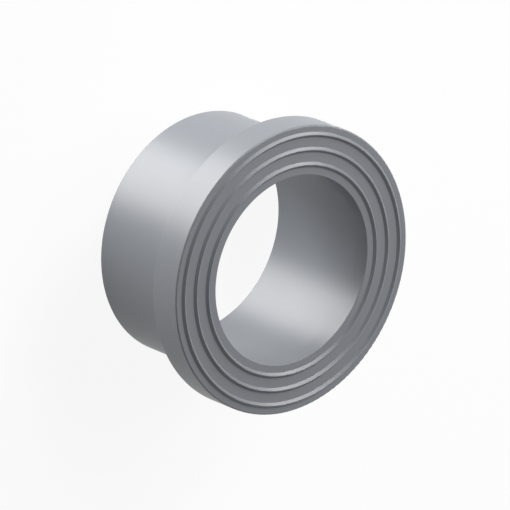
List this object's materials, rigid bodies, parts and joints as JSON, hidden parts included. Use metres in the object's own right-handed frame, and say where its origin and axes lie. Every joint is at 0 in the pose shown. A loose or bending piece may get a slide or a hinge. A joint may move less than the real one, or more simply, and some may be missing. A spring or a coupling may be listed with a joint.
{
  "type": "lap joint stub end",
  "caption": "Plastic stub end: a socket neck under a thick round flange with concentric sealing ridges on its face, held to a gasket by a loose backing ring.",
  "frame": {"origin": "centre of the neck's end face, on the pipe's axis", "axes": "+Z along the pipe's axis, from the socket's mouth to the ridged jointing face"},
  "size_m": [0.09, 0.09, 0.0447],
  "materials": {
    "grey_plastic": "satin moulded plastic"
  },
  "bodies": {
    "root": {"stub_end": "grey_plastic"}
  },
  "joints": []
}
